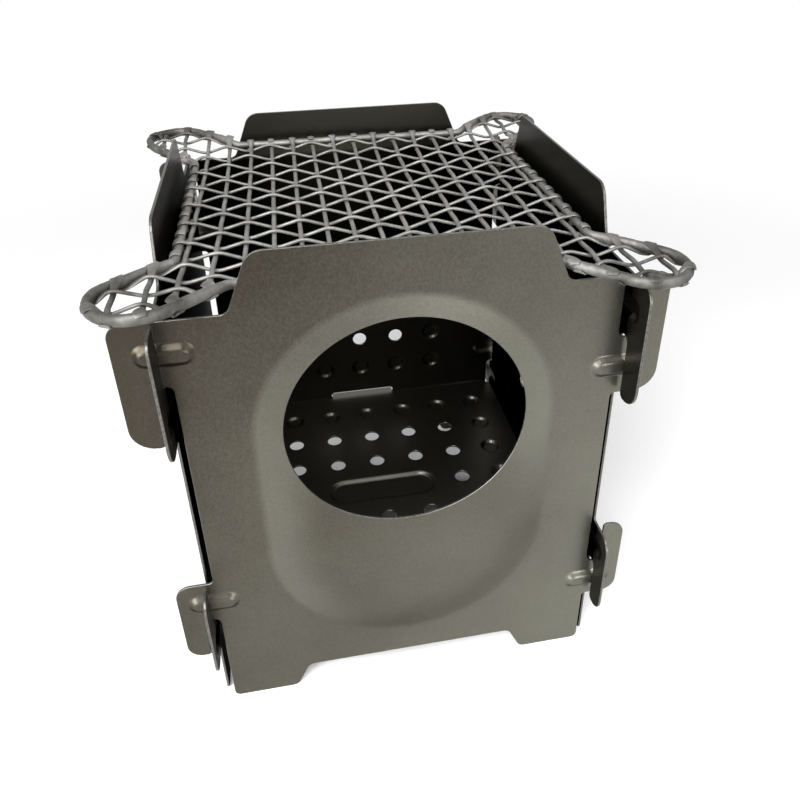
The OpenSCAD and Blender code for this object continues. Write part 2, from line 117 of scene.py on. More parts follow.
class NodeGraph:
    """Builds the node tree of one material or of the world."""

    def __init__(self, owner: bpy.types.ID) -> None:
        """Empties the tree.

        Args:
            owner: Material or world that the nodes belong to.
        """
        self.owner = owner
        owner.use_nodes = True
        self.tree = owner.node_tree
        self.tree.nodes.clear()

    def feed(self, value: object, target: Socket) -> None:
        """Joins a socket to an input, or sets the input.

        Args:
            value: Socket, number, colour or direction.
            target: The input.
        """
        if isinstance(value, Socket):
            self.tree.links.new(value, target)
        else:
            target.default_value = (*value, 1.0) if target.type == "RGBA" else value

    def node(self, kind: str, *inputs: object, **settings: object) -> bpy.types.Node:
        """Adds a node.

        Args:
            kind: Type of the node.
            inputs: What the first inputs take, in order.
            settings: Properties of the node, or what inputs take by name with spaces as underscores.

        Returns:
            The new node.
        """
        made = self.tree.nodes.new(f"ShaderNode{kind}")
        for key, value in settings.items():
            if hasattr(made, key):
                setattr(made, key, value)
            else:
                self.feed(value, made.inputs[key.replace("_", " ")])
        for value, target in zip(inputs, made.inputs):
            self.feed(value, target)
        return made

    def cover(self, shader: Socket) -> bpy.types.ID:
        """Puts a shader on the surface of the owner, and returns the owner."""
        kind = "OutputWorld" if isinstance(self.owner, bpy.types.World) else "OutputMaterial"
        self.node(kind, Surface=shader)
        return self.owner

    def metal(self, colour: Socket, roughness: Socket, normal: Socket, tint: object = EVEN) -> bpy.types.ID:
        """Covers the owner with bare metal.

        Args:
            colour: Colour seen straight on.
            roughness: Roughness.
            normal: Bent normal.
            tint: Tint at a low angle.

        Returns:
            The owner.
        """
        looks = {"Base_Color": colour, "Roughness": roughness, "Normal": normal, "Specular_Tint": tint}
        return self.cover(self.node("BsdfPrincipled", Metallic=1.0, **looks).outputs["BSDF"])

    def math(self, operation: str, *values: object, clamp: bool = False) -> Socket:
        """Adds a sum.

        Args:
            operation: Kind of the sum.
            values: Sockets or numbers.
            clamp: Whether the result stays from 0 to 1.

        Returns:
            The socket with the result.
        """
        return self.node("Math", *values, operation=operation, use_clamp=clamp).outputs[0]

    def measure(self, operation: str, *values: object) -> Socket:
        """Adds a sum on directions whose result is a number."""
        return self.node("VectorMath", *values, operation=operation).outputs["Value"]

    def where(self, kind: str = "Object") -> Socket:
        """Adds the coordinates of the surface, or its normal."""
        return self.node("TexCoord").outputs[kind]

    def part(self, axis: str, kind: str = "Object") -> Socket:
        """Adds the coordinate along one axis, or that part of the normal."""
        return self.node("SeparateXYZ", self.where(kind)).outputs[axis]

    def noise(self, scale: float, detail: float, stretch: Vector = EVEN) -> Socket:
        """Adds noise in the object's own coordinates.

        Args:
            scale: Cells per metre.
            detail: Number of finer layers.
            stretch: Share of the scale along each axis.

        Returns:
            The socket with the noise, from 0 to 1.
        """
        place = self.node("Mapping", Vector=self.where(), Scale=stretch).outputs["Vector"]
        pattern = self.node("TexNoise", Vector=place, Scale=scale, Detail=detail, Roughness=NOISE_ROUGHNESS)
        return pattern.outputs["Fac"]

    def slant(self, way: Vector, start: float) -> Socket:
        """Adds a value that changes evenly along one direction of the object's own coordinates.

        Args:
            way: Change per metre along each axis.
            start: Value at the origin.

        Returns:
            The socket with the value.
        """
        return self.math("ADD", self.measure("DOT_PRODUCT", self.where(), way), start)

    def ramp(
        self,
        source: Socket,
        low: float,
        high: float,
        start: float = 0.0,
        end: float = 1.0,
        kind: str = "LINEAR",
    ) -> Socket:
        """Maps a range of one value to another.

        Args:
            source: Socket to map.
            low: Lower end of the source's range.
            high: Upper end of the source's range.
            start: Result at the lower end.
            end: Result at the upper end.
            kind: Run of the ramp between its ends.

        Returns:
            The socket with the result.
        """
        ends = {"From_Min": low, "From_Max": high, "To_Min": start, "To_Max": end}
        return self.node("MapRange", interpolation_type=kind, Value=source, **ends).outputs["Result"]

    def blend(self, factor: Socket, first: object, second: object) -> Socket:
        """Mixes two colours.

        Args:
            factor: Socket with the share of the second colour.
            first: Colour at factor zero.
            second: Colour at factor one.

        Returns:
            The socket with the mixed colour.
        """
        mix = self.node("Mix", factor, data_type="RGBA")
        for value, target in zip((first, second), (s for s in mix.inputs if s.type == "RGBA")):
            self.feed(value, target)
        return next(s for s in mix.outputs if s.type == "RGBA")

    def bump(self, *layers: tuple[Socket, float]) -> Socket:
        """Stacks bumps on the surface.

        Args:
            layers: Pairs of a height socket and its depth in metres.

        Returns:
            The socket with the bent normal.
        """
        normal = None
        for height, depth in layers:
            below = {} if normal is None else {"Normal": normal}
            normal = self.node("Bump", Strength=1.0, Distance=depth, Height=height, **below).outputs["Normal"]
        return normal

    def seen(self) -> Socket:
        """Adds a value that is 1 for rays from the camera, also by way of a mirror or glass."""
        rays = self.node("LightPath").outputs
        straight = self.math("MAXIMUM", rays["Is Camera Ray"], rays["Is Glossy Ray"])
        return self.math("MAXIMUM", straight, rays["Is Transmission Ray"])

    def either(self, factor: Socket, first: Socket, second: Socket) -> Socket:
        """Mixes two shaders."""
        return self.node("MixShader", factor, first, second).outputs[0]


@dataclass(frozen=True)
class BlastedSteel:
    """Satin, finely blasted sheet with a faint upright grain and soft clouds.

    Its tone changes along tone_way, a painted gradient of light, darker to the upper left and lighter to the
    lower right. On slopes to the left and above the middle a painted highlight makes it lighter by
    slope_share, lower slopes get painted shade at lower_share of that, and round shade_middle painted shade
    darkens it by shade_share.
    """

    name: str
    dark: Colour
    light: Colour
    roughness: float = 0.33
    roughness_spread: float = 0.05
    grain_scale: float = 1900.0
    grain_depth: float = 0.000006
    grain_axis: int = 2
    grain_stretch: float = 0.7
    grain_share: float = 0.17
    grain_span: Point = (0.2, 0.8)
    grit_scale: float = 5200.0
    cloud_scale: float = 26.0
    cloud_share: float = 0.14
    # Painted gradient of light: change of tone per metre along each axis, and the tone at the origin.
    tone_way: Vector = (4.6, 0.0, -2.5)
    tone_start: float = 0.64
    # Painted highlight on upper slopes, and painted shade on lower ones at lower_share of it.
    slope_share: float = 0.0
    slope_span: Point = (0.988, 1.0)
    slope_reach: Point = (0.047, 0.05)
    upper_way: Vector = (-0.8, 0.0, 1.0)
    upper_span: Point = (0.03, 0.07)
    lower_share: float = -0.5
    # Painted shade round shade_middle.
    shade_share: float = 0.0
    shade_middle: Vector = (0.006, -0.065, 0.056)
    shade_reach: Point = (0.034, 0.05)
    edge_tint: float = 0.5

    def colour(self, graph: NodeGraph, grain: Socket) -> Socket:
        """Adds the colour of the sheet.

        Args:
            graph: Graph of the material.
            grain: Socket with the grain.

        Returns:
            The socket with the colour.
        """
        clouds = graph.ramp(graph.noise(self.cloud_scale, 3.0), *NOISE_SPAN, -0.5, 0.5)
        streaks = graph.ramp(grain, *NOISE_SPAN, -0.5 * self.grain_share, 0.5 * self.grain_share)
        uneven = graph.math("MULTIPLY_ADD", clouds, self.cloud_share, streaks)
        # Painted shade round shade_middle, and the painted gradient of light along tone_way.
        away = graph.measure("DISTANCE", graph.where(), self.shade_middle)
        shade = graph.ramp(away, *self.shade_reach, -self.shade_share, 0.0)
        plain = graph.math("ADD", shade, graph.slant(self.tone_way, self.tone_start))
        # Painted highlight on upper-left slopes of the field, and painted shade on its lower slopes.
        level = graph.math("ABSOLUTE", graph.part("Y", "Normal"))
        slope = graph.ramp(level, *self.slope_span, self.slope_share, 0.0)
        near = graph.ramp(graph.math("ABSOLUTE", graph.part("X")), *self.slope_reach, 1.0, 0.0)
        upper = graph.ramp(graph.slant(self.upper_way, 0.0), *self.upper_span, self.lower_share, 1.0)
        painted_slope_light = graph.math("MULTIPLY", slope, graph.math("MULTIPLY", near, upper))
        tone = graph.math("ADD", plain, graph.math("ADD", painted_slope_light, uneven), clamp=True)
        return graph.blend(tone, self.dark, self.light)

    def tint(self, graph: NodeGraph) -> object:
        """Colour or socket with the tint of the sheet where it is seen at a low angle."""
        return (self.edge_tint,) * 3

    def build(self) -> bpy.types.Material:
        """Makes the material."""
        graph = NodeGraph(bpy.data.materials.new(self.name))
        stretch = tuple(self.grain_stretch if axis == self.grain_axis else 1.0 for axis in range(3))
        grain = graph.noise(self.grain_scale, 3.0, stretch)
        grit = graph.noise(self.grit_scale, 1.0)
        smooth, rough = self.roughness - self.roughness_spread, self.roughness + self.roughness_spread
        return graph.metal(
            self.colour(graph, grain),
            graph.ramp(grain, *self.grain_span, smooth, rough),
            graph.bump((grain, self.grain_depth), (grit, self.grain_depth)),
            self.tint(graph),
        )


@dataclass(frozen=True)
class ShadedSteel(BlastedSteel):
    """Inner face of a wall, with painted shade deep under the grill that also takes away its low-angle
    reflection.
    """

    tone_way: Vector = STILL
    tone_start: float = 0.5
    edge_tint: float = 0.85
    low: float = 0.07
    low_fade: float = 0.016
    high: float = 0.1495
    high_fade: float = 0.002
    wall: float = 0.0652
    wall_fade: float = 0.0006
    # Colour of the painted shade.
    deep: Colour = (0.005, 0.0048, 0.004)

    def depth(self, graph: NodeGraph) -> Socket:
        """Adds the share of painted shade, which is 1 between two heights inside the walls.

        Args:
            graph: Graph of the material.

        Returns:
            The socket with the share.
        """
        reach = graph.math("MAXIMUM", *(graph.math("ABSOLUTE", graph.part(axis)) for axis in "XY"))
        within = graph.ramp(reach, self.wall, self.wall + self.wall_fade, 1.0, 0.0)
        height = graph.part("Z")
        above = graph.ramp(height, self.low, self.low + self.low_fade)
        below = graph.ramp(height, self.high, self.high + self.high_fade, 1.0, 0.0)
        return graph.math("MULTIPLY", graph.math("MULTIPLY", within, above), below)

    def tint(self, graph: NodeGraph) -> object:
        """Socket with the tint at a low angle, black where the shade is painted, so that reflections are
        darkened too.
        """
        return graph.ramp(self.depth(graph), 0.0, 1.0, self.edge_tint, 0.0)

    def colour(self, graph: NodeGraph, grain: Socket) -> Socket:
        """Adds the colour of the sheet, with painted shade between two heights inside the walls.

        Args:
            graph: Graph of the material.
            grain: Socket with the grain.

        Returns:
            The socket with the colour.
        """
        return graph.blend(self.depth(graph), super().colour(graph, grain), self.deep)


@dataclass(frozen=True)
class ShearedEdge:
    """Bright, finely scored edge of cut sheet."""

    name: str
    dark: Colour
    light: Colour
    roughness: float = 0.34
    score_roughness: float = 0.12
    score_scale: float = 1400.0
    score_depth: float = 0.00001

    def build(self) -> bpy.types.Material:
        """Makes the material."""
        graph = NodeGraph(bpy.data.materials.new(self.name))
        scores = graph.noise(self.score_scale, 2.0)
        return graph.metal(
            graph.blend(graph.ramp(scores, *NOISE_SPAN), self.dark, self.light),
            graph.ramp(scores, *NOISE_SPAN, self.roughness, self.roughness + self.score_roughness),
            graph.bump((scores, self.score_depth)),
        )


@dataclass(frozen=True)
class HammeredWire:
    """Pickled wire with shallow hammer marks and drawn streaks, darker out in the ears of the grill."""

    name: str
    dark: Colour
    light: Colour
    rough: float = 0.68
    smooth: float = 0.54
    cloud_scale: float = 160.0
    darkest: float = 0.45
    mark_scale: float = 520.0
    mark_depth: float = 0.00014
    streak_scale: float = 3600.0
    streak_depth: float = 0.00001
    ear_reach: Point = (0.076, 0.092)
    ear_share: float = 0.55

    def build(self) -> bpy.types.Material:
        """Makes the material."""
        graph = NodeGraph(bpy.data.materials.new(self.name))
        clouds = graph.noise(self.cloud_scale, 3.0)
        marks = graph.noise(self.mark_scale, 1.0)
        streaks = graph.noise(self.streak_scale, 2.0)
        level = graph.node("VectorMath", graph.where(), (1.0, 1.0, 0.0), operation="MULTIPLY")
        away = graph.measure("LENGTH", level.outputs["Vector"])
        ear = graph.ramp(away, *self.ear_reach, 0.0, -self.ear_share)
        tone = graph.math("ADD", graph.ramp(clouds, *NOISE_SPAN, self.darkest, 1.0), ear, clamp=True)
        return graph.metal(
            graph.blend(tone, self.dark, self.light),
            graph.ramp(clouds, *NOISE_SPAN, self.rough, self.smooth),
            graph.bump((marks, self.mark_depth), (streaks, self.streak_depth)),
        )


@dataclass(frozen=True)
class PaleFloor:
    """Plain white floor that shows as white, keeps the stove's soft shadow and has a painted shadow under it.
    """

    name: str = "pale_floor"
    shade: float = 0.8
    speckle_share: float = 0.99
    speckle_scale: float = 300.0
    shown_shade: float = 0.84
    shown_glow: float = 0.24
    # Reaches of the painted shadow under the stove, from the middle and along y.
    under_reach: Point = (0.055, 0.07)
    back_reach: Point = (0.024, 0.034)
    near_reach: float = 0.2
    far_reach: float = 0.55

    def build(self) -> bpy.types.Material:
        """Makes the material."""
        graph = NodeGraph(bpy.data.materials.new(self.name))
        speckle = graph.noise(self.speckle_scale, 2.0)
        tones = graph.blend(speckle, (self.shade * self.speckle_share,) * 3, (self.shade,) * 3)
        plain = graph.node("BsdfDiffuse", tones).outputs[0]
        shown = graph.node("BsdfDiffuse", (self.shown_shade,) * 3).outputs[0]
        distance = graph.measure("LENGTH", graph.where())
        # Painted shadow: no glow within under_reach of the middle of the stove, unless past back_reach
        # towards the back.
        round_stove = graph.ramp(distance, *self.under_reach, 0.0, self.shown_glow)
        behind = graph.ramp(graph.part("Y"), *self.back_reach, 0.0, self.shown_glow)
        glow = graph.node("Emission", Strength=graph.math("MAXIMUM", round_stove, behind)).outputs[0]
        lit = graph.node("AddShader", shown, glow).outputs[0]
        white = graph.node("Emission", Strength=1.0).outputs[0]
        far = graph.ramp(distance, self.near_reach, self.far_reach, kind="SMOOTHSTEP")
        return graph.cover(graph.either(graph.seen(), plain, graph.either(far, lit, white)))


# Meshes


def make_piece(
    name: str,
    points: np.ndarray,
    faces: Faces,
    materials: list[bpy.types.Material],
    slots: list[int] | None = None,
    crease: float = 35.0,
) -> bpy.types.Object:
    """Makes an object from points in millimetres.

    Args:
        name: Name of the piece.
        points: Rows of x, y and z in millimetres.
        faces: Rows of point numbers, outwards by the right-hand rule.
        materials: Materials of the piece.
        slots: Number of the material of each face.
        crease: Angle in degrees above which an edge stays sharp.

    Returns:
        The new object.
    """
    mesh = bpy.data.meshes.new(name)
    mesh.from_pydata((points * MM).tolist(), [], faces)
    for material in materials:
        mesh.materials.append(material)
    if slots is not None:
        mesh.polygons.foreach_set("material_index", slots)
    mesh.polygons.foreach_set("use_smooth", [True] * len(mesh.polygons))
    mesh.set_sharp_from_angle(angle=math.radians(crease))
    mesh.update()
    piece = bpy.data.objects.new(name, mesh)
    bpy.context.scene.collection.objects.link(piece)
    return piece


def place_piece(piece: bpy.types.Object, node: str, body: str) -> None:
    """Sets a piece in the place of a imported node.

    Args:
        piece: The piece.
        node: Node that it stands for.
        body: Body that it moves with.
    """
    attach(piece, body)
    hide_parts(node)
    LOG.info("%s stands for %s on %s", piece.name, node, body)


def unit(way: np.ndarray) -> np.ndarray:
    """Directions of length one, from one direction or from rows of them."""
    return way / np.linalg.norm(way, axis=-1, keepdims=True)


@dataclass(frozen=True)
class Corner:
    """Corner of a sheet's outline."""

    x: float
    y: float
    radius: float = 0.0


def round_corners(corners: list[Corner], steps: int = 8) -> np.ndarray:
    """Rounds the corners of a closed outline.

    Args:
        corners: Corners in order.
        steps: Number of chords of a rounded corner.

    Returns:
        Rows of x and y.
    """
    places = np.array([(corner.x, corner.y) for corner in corners])
    rows = []
    for i, (here, corner) in enumerate(zip(places, corners)):
        if corner.radius <= 0:
            rows.append(here)
            continue
        to_a = unit(places[i - 1] - here)
        to_c = unit(places[(i + 1) % len(places)] - here)
        half = math.acos(np.clip(to_a @ to_c, -1, 1)) / 2
        middle = here + unit(to_a + to_c) * corner.radius / math.sin(half)
        first = here + to_a * corner.radius / math.tan(half) - middle
        last = here + to_c * corner.radius / math.tan(half) - middle
        turn = math.pi - 2 * half
        for t in np.linspace(0, turn, steps + 1):
            rows.append(middle + (math.sin(turn - t) * first + math.sin(t) * last) / math.sin(turn))
    loop = np.array(rows)
    return loop[np.linalg.norm(loop - np.roll(loop, 1, axis=0), axis=1) > SAME_PLACE]


def circle(x: float, y: float, radius: float, steps: int) -> np.ndarray:
    """Points of a circle, in order and against the clock.

    Args:
        x: Middle along x.
        y: Middle along y.
        radius: Radius.
        steps: Number of points.

    Returns:
        Rows of x and y.
    """
    turn = np.arange(steps) * 2 * math.pi / steps
    return np.stack([x + radius * np.cos(turn), y + radius * np.sin(turn)], 1)


def inside(loop: np.ndarray, points: np.ndarray) -> np.ndarray:
    """Tests which points lie inside a closed loop.

    Args:
        loop: Rows of x and y.
        points: Rows of x and y.

    Returns:
        One truth value for each point.
    """
    found = np.zeros(len(points), bool)
    for (x0, y0), (x1, y1) in zip(loop, np.roll(loop, -1, axis=0)):
        if y0 == y1:
            continue
        crosses = (points[:, 1] >= min(y0, y1)) & (points[:, 1] < max(y0, y1))
        where = x0 + (points[:, 1] - y0) * (x1 - x0) / (y1 - y0)
        found ^= crosses & (points[:, 0] < where)
    return found


def distance_to_loop(loop: np.ndarray, points: np.ndarray) -> np.ndarray:
    """Distance of each point from a closed loop.

    Args:
        loop: Rows of x and y.
        points: Rows of x and y.

    Returns:
        One distance for each point.
    """
    ends = np.roll(loop, -1, axis=0)
    return np.min([distance_to_segment(a, b, points) for a, b in zip(loop, ends)], axis=0)


def distance_to_segment(a: np.ndarray, b: np.ndarray, points: np.ndarray) -> np.ndarray:
    """Distance of each point from a straight segment.

    Args:
        a: One end.
        b: Other end.
        points: Rows of x and y.

    Returns:
        One distance for each point.
    """
    way = b - a
    length = way @ way
    t = np.clip(((points - a) @ way) / length, 0, 1) if length > 0 else np.zeros(len(points))
    return np.linalg.norm(points - a - t[:, None] * way, axis=1)


@dataclass(frozen=True)
class Pressing:
    """Field pressed out of a sheet, with round ends.

    Its border rises softly, or evenly between a bend outside and one inside that take a share of it.
    """

    start: Point
    end: Point
    reach: float
    border: float
    rise: float
    bend: float = 0.0
    inner_bend: float = 0.6

    def depth(self, points: np.ndarray) -> np.ndarray:
        """Height of the pressing at each point."""
        away = self.reach - distance_to_segment(np.array(self.start), np.array(self.end), points)
        t = np.clip(away / self.border, 0, 1)
        if self.bend == 0:
            return self.rise * t * t * (3 - 2 * t)
        full = 1 - self.bend / 2 - self.inner_bend / 2
        low = t * t / (2 * self.bend)
        high = full - (1 - t) ** 2 / (2 * self.inner_bend)
        even = np.where(t < self.bend, low, np.where(t > 1 - self.inner_bend, high, t - self.bend / 2))
        return self.rise * even / full

    def rings(self, spacing: float) -> np.ndarray:
        """Points along the borders, where the sheet bends.

        Args:
            spacing: Distance between points along a ring.

        Returns:
            Rows of x and y.
        """
        a = np.array(self.start, float)
        b = np.array(self.end, float)
        span = float(np.linalg.norm(b - a))
        way = (b - a) / span if span > 0 else np.array([1.0, 0.0])
        side = np.array([-way[1], way[0]])
        rows = []
        for share in RING_SHARES:
            r = self.reach - share * self.border
            arc_steps = max(LEAST_ARC_STEPS, round(math.pi * r / spacing))
            turn = np.arange(arc_steps + 1) * math.pi / arc_steps
            arc = r * (np.outer(np.sin(turn), way) - np.outer(np.cos(turn), side))
            rows += [b + arc, a - arc]
            steps = max(1, round(span / spacing))
            for k in range(1, steps):
                here = a + way * span * k / steps
                rows.append(np.array([here + side * r, here - side * r]))
        return np.vstack(rows)


@dataclass
class PressedSheet:
    """Sheet with cut outlines, holes and pressings, meshed finely enough to shine smoothly."""

    outline: np.ndarray
    holes: list[np.ndarray]
    pressings: list[Pressing]
    thickness: float
    upwards: bool = True
    edge_round: float = 0.12
    grid: float = 3.4
    ring_spacing: Point = (0.5, 1.6)
    ring_share: float = 7.0
    ring_gap: float = 0.9
    edge_gap: float = 0.3

    def _inset(self, loop: np.ndarray, distance: float) -> np.ndarray:
        """Moves a loop sideways into the sheet.

        Args:
            loop: Rows of x and y, against the clock for an outline and a hole alike.
            distance: How far it moves to the left of its run.

        Returns:
            The moved loop.
        """
        before = unit(loop - np.roll(loop, 1, axis=0))
        after = unit(np.roll(loop, -1, axis=0) - loop)
        way = unit(before + after)
        return loop + np.stack([-way[:, 1], way[:, 0]], 1) * distance

    def _within(self, loops: list[np.ndarray], points: np.ndarray) -> np.ndarray:
        """Tests which points lie in the sheet and in none of its holes.

        Args:
            loops: The outline and the holes.
            points: Rows of x and y.

        Returns:
            One truth value for each point.
        """
        keep = inside(loops[0], points)
        for loop in loops[1:]:
            keep &= ~inside(loop, points)
        return keep

    def _height(self, points: np.ndarray) -> np.ndarray:
        """Height of the pressed sheet at each point."""
        total = np.zeros(len(points))
        for pressing in self.pressings:
            total = np.maximum(total, pressing.depth(points))
        return total if self.upwards else -total

    def _fill(self, loops: list[np.ndarray]) -> np.ndarray:
        """Points inside the sheet, along the pressings and on a plain grid.

        Args:
            loops: The outline and the holes of the flat faces.

        Returns:
            Rows of x and y.
        """
        spacings = [float(np.clip(p.reach / self.ring_share, *self.ring_spacing)) for p in self.pressings]
        rings = [p.rings(spacing) for p, spacing in zip(self.pressings, spacings)]
        low, high = loops[0].min(0), loops[0].max(0)
        across = np.arange(low[0] + self.grid / 2, high[0], self.grid)
        along = np.arange(low[1] + self.grid / 2, high[1], self.grid)
        net = np.array([[x, y] for x in across for y in along])
        for pressing in self.pressings:
            away = distance_to_segment(np.array(pressing.start), np.array(pressing.end), net) - pressing.reach
            inner = pressing.border * RING_SHARES[-1] + self.ring_gap
            net = net[(away > self.ring_gap) | (away < -inner)]
        points = np.vstack([*rings, net])
        points = points[self._within(loops, points)]
        for loop in loops:
            points = points[distance_to_loop(loop, points) > self.edge_gap]
        return points

    def mesh(self) -> tuple[np.ndarray, Faces, list[int]]:
        """Points, faces and material numbers of the sheet in its own plane."""
        loops = [self._inset(self.outline, self.edge_round)]
        loops += [self._inset(hole, -self.edge_round) for hole in self.holes]
        fill = self._fill(loops)
        flat = np.vstack([*loops, fill])
        edges = []
        base = 0
        for loop in loops:
            n = len(loop)
            edges += [(base + i, base + (i + 1) % n) for i in range(n)]
            base += n
        found = delaunay_2d_cdt([tuple(p) for p in flat.tolist()], edges, [], 0, SAME_POINT)
        points = np.array([(v[0], v[1]) for v in found[0]])
        places = {}
        for i, olds in enumerate(found[3]):
            for old in olds:
                places[old] = i
        triangles = np.array(found[2])
        triangles = triangles[self._within(loops, points[triangles].mean(1))]
        a, b, c = points[triangles[:, 0]], points[triangles[:, 1]], points[triangles[:, 2]]
        area = (b[:, 0] - a[:, 0]) * (c[:, 1] - a[:, 1]) - (b[:, 1] - a[:, 1]) * (c[:, 0] - a[:, 0])
        triangles[area < 0] = triangles[area < 0][:, ::-1]
        height = self._height(points)
        count = len(points)
        rows = [np.column_stack([points, height + self.thickness]), np.column_stack([points, height])]
        faces = [tuple(t) for t in triangles.tolist()]
        faces += [tuple(t) for t in (triangles[:, ::-1] + count).tolist()]
        slots = [OUTER] * len(triangles) + [INNER] * len(triangles)
        start = 0
        total = 2 * count
        for number, (loop, cut) in enumerate(zip(loops, [self.outline, *self.holes])):
            n = len(loop)
            rim = self._height(cut)
            rows.append(np.column_stack([cut, rim + self.thickness - self.edge_round]))
            rows.append(np.column_stack([cut, rim + self.edge_round]))
            for i in range(n):
                j = (i + 1) % n
                p, q = places[start + i], places[start + j]
                upper, lower = (total + i, total + j), (total + n + i, total + n + j)
                ring = [(p, q), upper, lower, (p + count, q + count)]
                for (u0, u1), (l0, l1) in zip(ring, ring[1:]):
                    face = (u0, l0, l1, u1)
                    faces.append(face if number == 0 else face[::-1])
                    slots.append(CUT)
            start += n
            total += 2 * n
        return np.vstack(rows), faces, slots


# Plates


def dimple(place: Point) -> Pressing:
    """Round dimple at a place."""
    return Pressing(place, place, *DIMPLE_SIZES)


@dataclass
class HookedPlate:
    """One of the four walls: a pot tab, hooked ears with pressed ribs, and two feet."""

    side: Side
    half: float = 65.0
    sheet: float = 0.8
    edge_x: float = 62.15
    slit_x: float = 66.8
    shoulder: float = 150.7
    tab_top: float = 167.8
    tab_top_half: float = 39.0
    tab_root_half: float = 45.825
    upper_x: float = 76.0
    lower_x: float = 74.2
    upper_bottom: float = 111.1
    upper_cross: float = 130.9
    lower_top: float = 56.0
    lower_cross: float = 39.7
    lower_bottom: float = 23.4
    slit_end: float = 0.2
    foot_width: float = 21.8
    foot_slant: float = 4.6
    recess: float = 9.8
    rib_length: float = 17.0
    rib_width: float = 8.0
    rib_border: float = 2.7
    rib_rise: float = 1.5
    tab_radius: float = 5.5
    step_radius: float = 1.5
    wide_radius: float = 3.0
    foot_radius: float = 2.0
    shoulder_share: float = 0.43
    tip_share: float = 0.76
    lower_share: float = 0.68
    mouth_share: float = 0.2

    def hook(self, way: int, x: float, start: float, end: float, cross: float, shares: Point) -> list[Corner]:
        """Corners of a hook and of the slit behind it.

        Args:
            way: One on the right side, minus one on the left.
            x: Place of the hook's outer side.
            start: Height at which the hook begins.
            end: Height of its tip, where the slit opens.
            cross: Height at which the sheet crosses its neighbour.
            shares: Radii of the two outer corners, as shares of the hook's width.

        Returns:
            The corners in order.
        """
        width = x - self.slit_x
        closed = cross - way * self.slit_end
        slit_radius = (self.slit_x - self.edge_x) / 2
        return [
            Corner(way * x, start, width * shares[0]),
            Corner(way * x, end, width * shares[1]),
            Corner(way * self.slit_x, end, width * self.mouth_share),
            Corner(way * self.slit_x, closed, slit_radius),
            Corner(way * self.edge_x, closed, slit_radius),
        ]

    def outline(self) -> np.ndarray:
        """Outline, down the left side with slits that open downwards and up the right one with the others."""
        e, u, w = self.edge_x, self.upper_x, self.lower_x
        top, tip, ledge, end = self.shoulder, self.upper_bottom, self.lower_top, self.lower_bottom
        lower = (self.lower_share, self.lower_share)
        mouth = (u - self.slit_x) * self.mouth_share
        tabs, feet = {}, {}
        for way in (-1, 1):
            tabs[way] = [
                Corner(way * self.tab_top_half, self.tab_top, self.tab_radius),
                Corner(way * self.tab_root_half, top, self.wide_radius),
            ]
            feet[way] = [
                Corner(way * e, 0.0, self.foot_radius),
                Corner(way * (e - self.foot_width), 0.0, self.wide_radius),
                Corner(way * (e - self.foot_width - self.foot_slant), self.recess, self.wide_radius),
            ]
        return round_corners([
            *tabs[-1],
            *self.hook(-1, u, top, tip, self.upper_cross, (self.shoulder_share, self.tip_share)),
            Corner(-e, ledge, self.step_radius),
            *self.hook(-1, w, ledge, end, self.lower_cross, lower),
            *feet[-1],
            *reversed(feet[1]),
            Corner(e, end, self.step_radius),
            *self.hook(1, w, end, ledge, self.lower_cross, lower),
            Corner(e, tip, self.step_radius),
            *self.hook(1, u, tip, top, self.upper_cross, (self.tip_share, self.shoulder_share)),
            Corner(e, top, mouth),
            *reversed(tabs[1]),
        ])

    def ribs(self) -> list[Pressing]:
        """Ribs pressed across the four hooks."""
        middle = (self.slit_x + self.upper_x - self.rib_length) / 2
        run = (self.rib_length - self.rib_width) / 2
        places = [
            (-middle, (self.upper_cross + self.shoulder) / 2),
            (middle, (self.upper_cross + self.upper_bottom) / 2),
            (-middle, (self.lower_cross + self.lower_top) / 2),
            (middle, (self.lower_cross + self.lower_bottom) / 2),
        ]
        sizes = (self.rib_width / 2, self.rib_border, self.rib_rise)
        return [Pressing((x - run, y), (x + run, y), *sizes) for x, y in places]

    def holes(self) -> list[np.ndarray]:
        """Loops of the holes in the plate."""
        return []

    def fields(self) -> list[Pressing]:
        """Pressings of the plate, apart from the ribs."""
        return []

    def stand(self, points: np.ndarray) -> np.ndarray:
        """Turns points of the plate's own plane to its place on the stove."""
        c, s = math.cos(math.radians(self.side.value)), math.sin(math.radians(self.side.value))
        x, y = points[:, 0], self.sheet - self.half - points[:, 2]
        return np.column_stack([x * c - y * s, x * s + y * c, points[:, 1]])

    def build(self, face: BlastedSteel, edge: ShearedEdge, inner: BlastedSteel) -> None:
        """Makes the plate.

        Args:
            face: Finish of the outer face.
            edge: Finish of the cut edges.
            inner: Finish of the inner face.
        """
        sheet = PressedSheet(self.outline(), self.holes(), self.fields() + self.ribs(), self.sheet)
        points, faces, slots = sheet.mesh()
        node = f"{self.side.name.lower()}_plate"
        finishes = [face.build(), edge.build(), inner.build()]
        piece = make_piece(f"{node}_sheet", self.stand(points), faces, finishes, slots)
        place_piece(piece, node, "stove")


@dataclass
class FrontPlate(HookedPlate):
    """Wall with the round fuel opening in a raised field."""

    opening_radius: float = 35.4
    opening_height: float = 109.7
    field_reach: float = 45.0
    field_high: float = 107.9
    field_low: float = 65.4
    field_border: float = 20.0
    field_rise: float = 2.0
    field_bend: float = 0.07

    def holes(self) -> list[np.ndarray]:
        """The fuel opening."""
        return [circle(0.0, self.opening_height, self.opening_radius, OPENING_STEPS)]

    def fields(self) -> list[Pressing]:
        """The raised field round the opening."""
        sizes = (self.field_reach, self.field_border, self.field_rise, self.field_bend)
        return [Pressing((0.0, self.field_low), (0.0, self.field_high), *sizes)]


